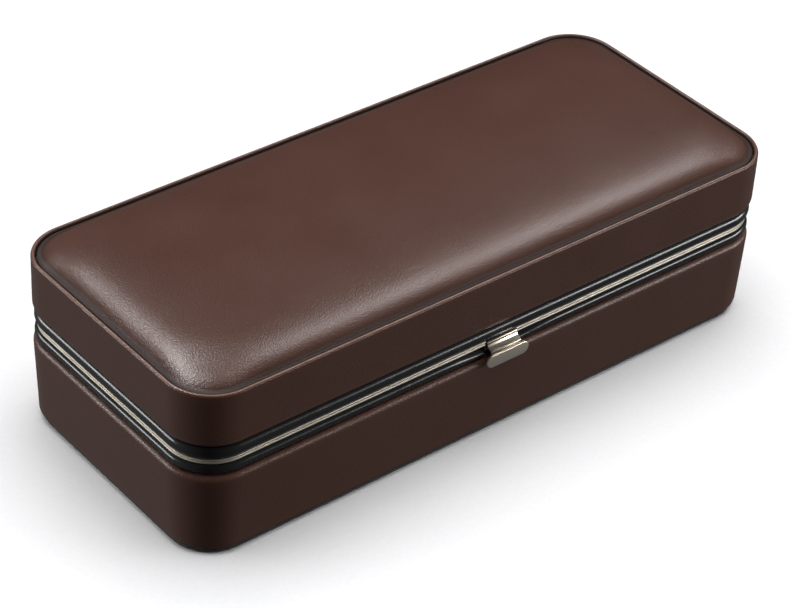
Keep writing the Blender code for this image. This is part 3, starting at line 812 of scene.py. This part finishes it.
def make_bead_frames(lacquer):
    """The two black frames: a half-round bead outside, and a skirt inside that holds the board."""
    skirt_outer, skirt_inner = 4.9 * MM, 6.4 * MM
    bead_inset, bead_depth = 0.6 * MM, 2.6 * MM
    for node, body, is_base in (("base_frame", "base", True), ("lid_frame", "lid", False)):
        low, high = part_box(node)
        if is_base:
            foot, top, skirt = COVER_HIGH.z + GAP, high.z, low.z
        else:
            foot, top, skirt = low.z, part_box("lid_leather_band")[0].z - GAP, high.z
        middle = (foot + top) / 2
        half = (top - foot) / 2
        section = arc(bead_inset + bead_depth, middle, bead_depth, half, -90, 90, 22)
        if is_base:
            section += [(skirt_inner, top), (skirt_inner, skirt), (skirt_outer, skirt)]
            section += [(skirt_outer, foot)]
        else:
            section += [(skirt_outer, top), (skirt_outer, skirt), (skirt_inner, skirt)]
            section += [(skirt_inner, foot)]

        def warp(co, inset, is_base=is_base, foot=foot, top=top):
            if not is_base or co.y > 0 or inset > bead_inset + bead_depth:
                return co
            amount = latch_relief(co.x)
            share = (co.z - foot) / (top - foot)
            co = co.copy()
            co.y += amount * 1.5 * MM * smoothstep(0.2, 1.0, share)
            co.z -= amount * 0.7 * MM * smoothstep(0.4, 1.0, share)
            return co

        bm, _ = sweep(section, warp=warp)
        name = f"{body}_bead_frame"
        obj = finish_object(name, bm, [lacquer], body, 35, [node])
        if is_base:
            cut_notch(obj, foot, top)


def make_strips(nickel):
    """The two nickel strips that meet between the frames, each with a leg down behind its skirt."""
    outer, inner, leg = 1.7 * MM, 7.2 * MM, 6.7 * MM
    ease = 0.2 * MM
    for node, body, sign in (("base_nickel_strip", "base", 1), ("lid_nickel_strip", "lid", -1)):
        low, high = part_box(node)
        face = high.z if sign > 0 else low.z
        back = face - sign * 0.85 * MM
        end = low.z if sign > 0 else high.z
        middle = (face + back) / 2
        half = abs(face - back) / 2
        section = arc(outer + ease, middle, ease, half, -90 * sign, 90 * sign, 6)
        section += [(inner - ease, face), (inner, face - sign * ease), (inner, end), (leg, end)]
        section += [(leg, back)]
        bm, _ = sweep(section)
        name = f"{body}_strip"
        obj = finish_object(name, bm, [nickel], body, 35, [node])
        cut_notch(obj, low.z, high.z)


# -------- latch


def joint(name):
    return next(j for j in frame["joints"] if j["name"] == name)


def at_front(points):
    """Points of a section, given in mm as the depth behind the box's front and the height."""
    return [(FRONT + depth * MM, z * MM) for depth, z in points]


def make_latch(polished, brushed):
    """The lever: a bent plate with a nose and two bored ears, and a thumb tab in front."""
    low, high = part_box("latch_lever")
    pin_y, pin_z = joint("latch_press")["pos_m"][1:]
    plate_half, nose_half, bore_radius = 7.8 * MM, 1.7 * MM, 0.85 * MM
    ear_radius, ear_inner, ear_outer = 1.35 * MM, 6.2 * MM, 7.2 * MM

    # The plate's section, from its top edge down round a rolled lip and up again behind.
    shoulder = ((1.5, 0), (0.8, 0), (0.62, 0.35), (0.35, 0.9))
    plate = [(FRONT + depth * MM, high.z - drop * MM) for depth, drop in shoulder]
    plate += at_front([(-1.35, 44.42), (-1.75, 44.38), (-1.95, 44.12), (-1.85, 43.80)])
    plate += at_front([(-1.55, 43.62), (-1.60, 43.0), (-2.4, 42.8), (-2.4, 40.0)])
    plate += at_front([(-1.4, 40.0), (-1.4, 43.0), (1.4, 45.3)])
    bm = bmesh.new()
    prism(bm, plate, "x", -plate_half, plate_half)
    lever = finish_object("latch_plate", bm, [polished], "latch", 35, ["latch_lever"])
    bevel(lever, 0.12 * MM)

    # The ears that turn on the pin, and the nose.
    ear = at_front([(-1.0, 43.4), (0.9, 45.3)])
    for step in range(17):
        angle = radians(70 - 200 * step / 16)
        ear.append((pin_y + ear_radius * cos(angle), pin_z + ear_radius * sin(angle)))
    for start, end in ((-ear_outer, -ear_inner), (ear_inner, ear_outer)):
        combine(lever, helper("ear", ear, "x", start, end), "UNION")
    nose = at_front([(0.6, 44.75), (3.3, 45.05), (3.4, 45.2), (3.0, 45.5), (0.6, 45.55)])
    combine(lever, helper("nose", nose, "x", -nose_half, nose_half), "UNION")
    bore = circle((pin_y, pin_z), bore_radius)
    combine(lever, helper("bore", bore, "x", -9 * MM, 9 * MM), "DIFFERENCE")
    shade_metal(lever)

    # The thumb tab: a rounded bar with a satin face. Each ring is set in from the bar's outline,
    # and lies behind its face.
    half_z = 3.1 * MM
    middle_z = low.z + half_z
    run = high.x - half_z
    front_edge = [(0.55, 0.0), (0.28, 0.05), (0.1, 0.18), (0.0, 0.45)]
    back_edge = [(0.0, 0.85), (0.1, 1.12), (0.28, 1.25), (0.55, 1.3)]
    bm = bmesh.new()
    rings = []
    for shrink, depth in front_edge + back_edge:
        ring = []
        for step in range(64):
            angle = 2 * pi * (step + 0.5) / 64
            centre = run if cos(angle) > 0 else -run
            radius = half_z - shrink * MM
            x = centre + radius * cos(angle)
            z = middle_z + radius * sin(angle)
            ring.append(bm.verts.new((x, low.y + depth * MM, z)))
        rings.append(ring)
    loft(bm, rings).material_index = 1
    finish_object("latch_thumb_tab", bm, [polished, brushed], "latch", 50)


def make_striker(nickel):
    """The plate under the lid's front edge, with a windowed tongue that the latch's nose enters."""
    low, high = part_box("striker")
    tongue_half, window_half = 2.6 * MM, 2.0 * MM
    window_foot, window_top = 44.5 * MM, 45.8 * MM
    bm = bmesh.new()
    foot, top = high.z - 0.70 * MM, high.z + 0.15 * MM
    middle, half = (foot + top) / 2, (top - foot) / 2
    flange = [(high.y, foot), (high.y, top)]
    for step in range(9):
        angle = radians(90 + 180 * step / 8)
        flange.append((low.y + half + half * cos(angle), middle + half * sin(angle)))
    prism(bm, flange, "x", low.x, high.x)
    obj = finish_object("latch_striker", bm, [nickel], "lid", 35, ["striker"])
    tongue = box_points((high.y - 0.6 * MM, low.z), (high.y, high.z - 0.2 * MM))
    combine(obj, helper("tongue", tongue, "x", -tongue_half, tongue_half), "UNION")
    window = box_points((high.y - MM, window_foot), (high.y + MM, window_top))
    combine(obj, helper("window", window, "x", -window_half, window_half), "DIFFERENCE")
    bevel(obj, 0.1 * MM)
    shade_metal(obj)


# -------- hinges


def make_hinge(side, lacquer, steel):
    """A butt hinge: two leaves with knuckles, webs and stop toes, their rivets and the pin."""
    leaf_low, leaf_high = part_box(f"hinge_base_leaf_{side}")
    x = (leaf_low.x + leaf_high.x) / 2
    half = (leaf_high.x - leaf_low.x) / 2
    axis_y, axis_z = axis = joint("lid_hinge")["pos_m"][1:]
    barrel, bore, corner = 1.9 * MM, 1.1 * MM, 1.2 * MM
    back = leaf_low.y + 0.8 * MM
    web_from = 0.65 * MM
    knuckle_half, toe_half = 6.0 * MM, 4 * MM
    base_leaf_top, lid_leaf_foot = 45.3 * MM, 48.2 * MM
    for word in ("base", "lid"):
        node = f"hinge_{word}_leaf_{side}"
        low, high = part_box(node)
        if word == "base":
            foot, top = low.z, base_leaf_top
            spans = [(-half, -knuckle_half - GAP), (knuckle_half + GAP, half)]
            web = (axis_z - barrel, axis_z - web_from)
            toe_low = (low.y + 0.2 * MM, axis_z - 3.3 * MM)
            toe_high = (axis_y - 1.2 * MM, axis_z - 2.3 * MM)
        else:
            foot, top = lid_leaf_foot, high.z
            spans = [(-knuckle_half, knuckle_half)]
            web = (axis_z + web_from, axis_z + barrel)
            toe_low = (axis_y + 1.4 * MM, axis_z - 0.45 * MM)
            toe_high = (axis_y + 2.9 * MM, axis_z + 0.45 * MM)
        plan = []
        for quarter, (sx, sz) in enumerate(((1, 1), (-1, 1), (-1, -1), (1, -1))):
            cx = x + sx * (half - corner)
            cz = (foot + top) / 2 + sz * ((top - foot) / 2 - corner)
            for step in range(7):
                angle = pi / 2 * (quarter + step / 6)
                plan.append((cx + corner * cos(angle), cz + corner * sin(angle)))
        bm = bmesh.new()
        prism(bm, plan, "y", low.y, back)
        name = f"hinge_{word}_{side}"
        leaf = finish_object(name, bm, [lacquer], word, 35, [node])
        for start, end in spans:
            points = box_points((low.y, web[0]), (axis_y, web[1]))
            combine(leaf, helper("web", points, "x", x + start, x + end), "UNION")
            points = circle(axis, barrel)
            combine(leaf, helper("barrel", points, "x", x + start, x + end), "UNION")
        toe = helper("toe", box_points(toe_low, toe_high), "x", x - toe_half, x + toe_half)
        combine(leaf, toe, "UNION")
        tool = helper("bore", circle(axis, bore), "x", x - half - MM, x + half + MM)
        combine(leaf, tool, "DIFFERENCE")
        shade_metal(leaf)
        for number in (1, 2):
            make_rivet(f"hinge_{word}_rivet_{side}_{number}", word, lacquer)

    # The pin, with eased ends: how far from its end in mm, and which share of its radius.
    name = f"hinge_pin_{side}"
    low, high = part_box(name)
    radius = (high.z - low.z) / 2
    ease = ((0.0, 0.75), (0.15, 0.95), (0.4, 1.0))
    profile = [(low.x + a * MM, r) for a, r in ease]
    profile += [(high.x - a * MM, r) for a, r in reversed(ease)]
    bm = bmesh.new()
    rings = []
    for px, share in profile:
        rings.append([bm.verts.new((px, py, pz)) for py, pz in circle(axis, radius * share, 28)])
    loft(bm, rings)
    finish_object(f"{name}_turned", bm, [steel], "base", 50, [name])


def make_rivet(node, body, lacquer):
    """A rivet with a domed head on the outside of a hinge leaf."""
    low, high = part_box(node)
    centre = ((low.x + high.x) / 2, (low.z + high.z) / 2)
    shank, dome, rise = 0.6, 1.3, 0.6 * MM
    head = high.y - rise
    profile = [(low.y, shank), (head, shank), (head, dome)]
    for step in range(1, 7):
        angle = radians(90 * step / 6)
        profile.append((head + rise * sin(angle), max(dome * cos(angle), 0.12)))
    bm = bmesh.new()
    rings = []
    for y, radius in profile:
        rings.append([bm.verts.new((px, y, pz)) for px, pz in circle(centre, radius * MM, 24)])
    loft(bm, rings)
    finish_object(f"{node}_domed", bm, [lacquer], body, 50, [node])


# -------- inside


def make_linings(suede):
    """The suede in the base, with its standing edge, and in the lid."""
    low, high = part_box("base_lining")
    wall, face = 7.5 * MM, 9.0 * MM
    floor = 7.8 * MM
    base_ledge, lid_ledge = 32.7 * MM, 61.3 * MM
    base_outer, lid_outer = 5.5 * MM, 4.9 * MM
    edge = 0.7 * MM
    section = [(6.0 * MM, low.z), (base_outer, low.z + 0.5 * MM), (base_outer, base_ledge)]
    section += [(wall, base_ledge), (wall, high.z - edge)]
    section += arc((wall + face) / 2, high.z - edge, edge + 0.05 * MM, edge, 0, 180, 8)
    section += [(face, high.z - edge - 0.4 * MM)]
    section += line((face, high.z - 4 * MM), (face, floor + 2 * MM), 8)
    section += arc(face + 2 * MM, floor + 2 * MM, -2 * MM, 2 * MM, 0, -90, 6)[1:]
    section[-1] = (face + 2 * MM, floor)

    def warp(co, inset):
        if inset < face - 0.1 * MM or co.z > 43 * MM:
            return co
        return co - outward(co) * (0.12 * MM * (1 + noise.noise(co * 55)))

    bm, loops = sweep(section, closed=False, warp=warp)
    close_ends(bm, loops)
    finish_object("base_suede_lining", bm, [suede], "base", 50, ["base_lining"])

    low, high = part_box("lid_lining")
    ceiling = high.z - 1.5 * MM
    section = [(lid_outer, high.z), (lid_outer, lid_ledge), (wall, lid_ledge), (wall, low.z + edge)]
    section += arc((wall + face) / 2, low.z + edge, edge + 0.05 * MM, -edge, 0, 180, 8)
    section += line((face, low.z + 4 * MM), (face, ceiling - 2 * MM), 6)
    section += arc(face + 2 * MM, ceiling - 2 * MM, -2 * MM, -2 * MM, 0, -90, 6)[1:]
    section[-1] = (face + 2 * MM, ceiling)
    bm, loops = sweep(section, closed=False)
    close_ends(bm, loops)
    finish_object("lid_suede_lining", bm, [suede], "lid", 50, ["lid_lining"])


def make_dividers(suede):
    """The four walls between the cushions, with round tops and a slightly uneven covering."""
    for number in range(1, 5):
        node = f"divider_{number}"
        low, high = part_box(node)
        middle = (low.x + high.x) / 2
        half = (high.x - low.x) / 2
        points = [(middle - half, low.z), (middle + half, low.z)]
        round_z = high.z - half
        points += [(middle + half, low.z + (round_z - low.z) * i / 6) for i in range(1, 6)]
        for step in range(13):
            angle = pi * step / 12
            points.append((middle + half * cos(angle), round_z + half * sin(angle)))
        points += [(middle - half, low.z + (round_z - low.z) * i / 6) for i in range(5, 0, -1)]
        bm = bmesh.new()
        rings = []
        for step in range(25):
            y = low.y + (high.y - low.y) * step / 24
            ring = []
            for px, pz in points:
                bulge = 0.10 * MM * noise.noise(Vector((number * 3.1, y * 60, pz * 60)))
                away = math.copysign(1, px - middle) * bulge if low.z < pz < round_z else 0
                ring.append(bm.verts.new((px + min(max(away, -0.2 * MM), 0.12 * MM), y, pz)))
            rings.append(ring)
        loft(bm, rings)
        finish_object(f"{node}_suede", bm, [suede], "base", 50, [node])


# The power of the cushions' oval, between an ellipse's 2 and a rectangle.
OVAL_POWER = 2.5


def oval(half_y, half_z, steps=64):
    points = []
    for step in range(steps):
        angle = 2 * pi * step / steps
        c, s = cos(angle), sin(angle)
        y = half_y * math.copysign(abs(c) ** (2 / OVAL_POWER), c)
        z = half_z * math.copysign(abs(s) ** (2 / OVAL_POWER), s)
        points.append((y, z))
    return points


def cushion_shape(half, seam):
    """The cut shape of a cushion before filling: an oval roll with flat ends."""
    bm = bmesh.new()
    ends = ((1.5 * MM, 7 * MM), (0.8 * MM, 3 * MM), (seam, 1.6 * MM))
    inner = [(-half.x * 0.55 + half.x * 1.1 * i / 8, 1.2 * MM) for i in range(9)]
    stations = [(-half.x + x, shrink) for x, shrink in ends] + inner
    stations += [(half.x - x, shrink) for x, shrink in reversed(ends)]
    rings = []
    for x, shrink in stations:
        points = oval(half.y - shrink, half.z - shrink)
        rings.append([bm.verts.new((x, y, z)) for y, z in points])
    loft(bm, rings)
    bmesh.ops.recalc_face_normals(bm, faces=bm.faces)
    mesh = to_mesh("cushion_form", bm)
    return mesh


def clear_of_core(co, half):
    """Keeps a cushion's cover outside its foam core, on its round side and at its two ends."""
    sides = np.array((half.y, half.z)) - 0.7 * MM
    reach = (np.abs(co[:, 1:] / sides) ** OVAL_POWER).sum(axis=1) ** (1 / OVAL_POWER)
    along = np.abs(co[:, 0])
    thin = (along < half.x - 3 * MM) & (reach > 0.75) & (reach < 1)
    grow = np.where(thin, 1 / np.maximum(reach, 0.75), 1.0)
    co[:, 1:] *= grow[:, None]
    is_end = along > half.x - 2.3 * MM
    pushed = np.sign(co[:, 0]) * np.maximum(along, half.x - 0.9 * MM)
    co[:, 0] = np.where(is_end, pushed, co[:, 0])


def make_cushions(suede):
    """Five filled cushions. One is simulated, and each gets its own small unevenness."""
    low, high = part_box("cushion_1_cover")
    half = (high - low) / 2
    seam = 3.0 * MM
    form = bpy.data.objects.new("cushion_form", cushion_shape(half, seam))
    bpy.context.scene.collection.objects.link(form)
    remesh = form.modifiers.new("remesh", "REMESH")
    remesh.mode = "VOXEL"
    remesh.voxel_size = 2.2 * MM
    apply_modifiers(form)
    near_seam = []
    for vert in form.data.vertices:
        if abs(abs(vert.co.x) - (half.x - seam)) < 1.6 * MM:
            near_seam.append(vert.index)
    soften(form, {0.9: near_seam}, pressure=5.0, frames=20, cap=1.2 * MM)
    smooth = form.modifiers.new("smooth", "SMOOTH")
    smooth.factor = 0.5
    smooth.iterations = 6
    subdivide = form.modifiers.new("subdivide", "SUBSURF")
    subdivide.levels = 1
    subdivide.render_levels = 1
    apply_modifiers(form)
    base_co = points_of(form.data)
    limit = np.array(half) - 0.15 * MM
    for number in range(1, 6):
        node = f"cushion_{number}_cover"
        low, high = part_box(node)
        centre = (low + high) / 2
        mesh = form.data.copy()
        turn = -1 if number % 2 else 1
        co = base_co * np.array([turn, turn, 1])
        for i, point in enumerate(co):
            wave = noise.noise(Vector(point) * 45 + Vector((number * 7.3, 0, 0)))
            co[i] = point * (1 + 0.010 * wave)
        clear_of_core(co, half)
        co = np.clip(co, -limit, limit)
        mesh.vertices.foreach_set("co", (co + np.array(centre)).ravel())
        body = f"cushion_{number}"
        cover = finish_mesh(f"{body}_suede", mesh, [suede], body, 0, [node])
        for end, sign in (("left", -1), ("right", 1)):
            make_piping(f"{body}_piping_{end}", body, centre, sign * (half.x - seam), half, suede)
    bpy.data.objects.remove(form)


def make_piping(name, body, centre, x, half, suede):
    """The thin round trim sewn in along a cushion's end."""
    radius, shrink = 0.55 * MM, 0.75 * MM
    bm = bmesh.new()
    rings = []
    for y, z in oval(half.y - shrink, half.z - shrink, 96):
        out = Vector((0, y / half.y**2, z / half.z**2)).normalized()
        ring = []
        for side in range(10):
            angle = 2 * pi * side / 10
            offset = out * (radius * cos(angle)) + Vector((radius * sin(angle), 0, 0))
            ring.append(bm.verts.new(centre + Vector((x, y, z)) + offset))
        rings.append(ring)
    for i, ring in enumerate(rings):
        bridge(bm, ring, rings[(i + 1) % len(rings)])
    finish_object(name, bm, [suede], body, 0)


def make_inner_pad(suede, thread):
    """The soft pad in the lid that keeps the watches down, with a stitched border."""
    low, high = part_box("lid_inner_pad")
    top = high.z
    edge = HALF_X - high.x
    border = 6.0 * MM
    stitch_inset = edge + border
    stitch_z = top - 2.0 * MM
    section = [(edge + 0.6 * MM, top), (edge, top - 0.8 * MM), (edge, top - 1.6 * MM)]
    section += [(edge + 0.7 * MM, top - 2.2 * MM), (edge + border - 1.2 * MM, top - 2.3 * MM)]
    section += [(stitch_inset, stitch_z)]
    span = stitch_z - (low.z + 0.4 * MM)
    inset = stitch_inset
    step = 0.8 * MM
    while inset < HALF_Y - 6 * MM:
        inset += step
        step = min(step * 1.1, 4 * MM)
        fall = 1 - exp(-(inset - stitch_inset) / (5 * MM))
        section.append((inset, stitch_z - span * fall))
    bm, loops = sweep(section, closed=False)
    close_ends(bm, loops)
    name = "lid_inner_suede_pad"
    pad = finish_object(name, bm, [suede], "lid", 0, ["lid_inner_pad"])
    fixed = [vert.index for vert in pad.data.vertices if vert.co.z > top - 2.6 * MM]
    soften(pad, {1.0: fixed}, pressure=2.5, frames=12, cap=0.5 * MM)

    # Stitches along the border.
    path = outline(stitch_inset - 1.0 * MM)
    pitch, length, radius = 3.2 * MM, 2.3 * MM, 0.28 * MM
    z = top - 2.35 * MM
    bm = bmesh.new()
    travelled, target = 0.0, 0.0
    for start, stop in zip(path, path[1:] + path[:1]):
        run = (stop - start).length
        if run < 1e-7:
            continue
        along = (stop - start) / run
        while target < travelled + run:
            at = start + along * (target - travelled)
            add_stitch(bm, Vector((at.x, at.y, z)), Vector((along.x, along.y, 0)), length, radius)
            target += pitch
        travelled += run
    finish_object("lid_pad_stitches", bm, [thread], "lid", 0)


def add_stitch(bm, centre, along, length, radius):
    across = along.cross(Vector((0, 0, 1)))
    rings = []
    for t, r in ((-0.5, 0.3), (-0.38, 0.85), (-0.15, 1.0), (0.15, 1.0), (0.38, 0.85), (0.5, 0.3)):
        sag = 0.25 * MM * (4 * t * t)
        ring = []
        for side in range(6):
            angle = 2 * pi * side / 6
            offset = across * (radius * r * cos(angle))
            lift = radius * r * sin(angle) + sag
            ring.append(bm.verts.new(centre + along * (length * t) + offset + Vector((0, 0, lift))))
        rings.append(ring)
    loft(bm, rings)


def dress(node, material):
    """Gives a CAD node that stays its finished material."""
    materials = frame["nodes"][node].data.materials
    if not materials:
        materials.append(material)
    for index in range(len(materials)):
        materials[index] = material


def main():
    make_camera()
    make_stage()
    leather = leather_material()
    lacquer = lacquer_material()
    tint, dark = (0.88, 0.80, 0.67), (0.76, 0.68, 0.56)
    polished = nickel_material("polished_nickel", tint, dark, (0.26, 0.36), (90, 90, 3200), 0.06)
    tint, dark = (0.92, 0.86, 0.74), (0.84, 0.77, 0.65)
    strip = nickel_material("champagne_nickel", tint, dark, (0.36, 0.42), (25, 25, 120), 0.0)
    tint, dark = (0.98, 0.95, 0.91), (0.84, 0.81, 0.77)
    brushed = nickel_material("satin_nickel", tint, dark, (0.42, 0.55), (2600,) * 3, 0.3, 0.0)
    suede = suede_material()
    steel = steel_material()
    make_base_leather(leather)
    make_lid_band(leather)
    make_padded_top(leather)
    make_bead_frames(lacquer)
    make_strips(strip)
    make_latch(polished, brushed)
    make_striker(strip)
    for side in ("left", "right"):
        make_hinge(side, lacquer, steel)
    make_linings(suede)
    make_dividers(suede)
    make_cushions(suede)
    make_inner_pad(suede, thread_material())
    dress("bottom_panel", felt_material())
    board = board_material()
    foam = foam_material()
    for node in ("base_shell", "lid_shell"):
        dress(node, board)
    for node in ["lid_top_foam"] + [f"cushion_{n}_core" for n in range(1, 6)]:
        dress(node, foam)
    for node in ("latch_pin", "latch_spring"):
        dress(node, steel)


main()
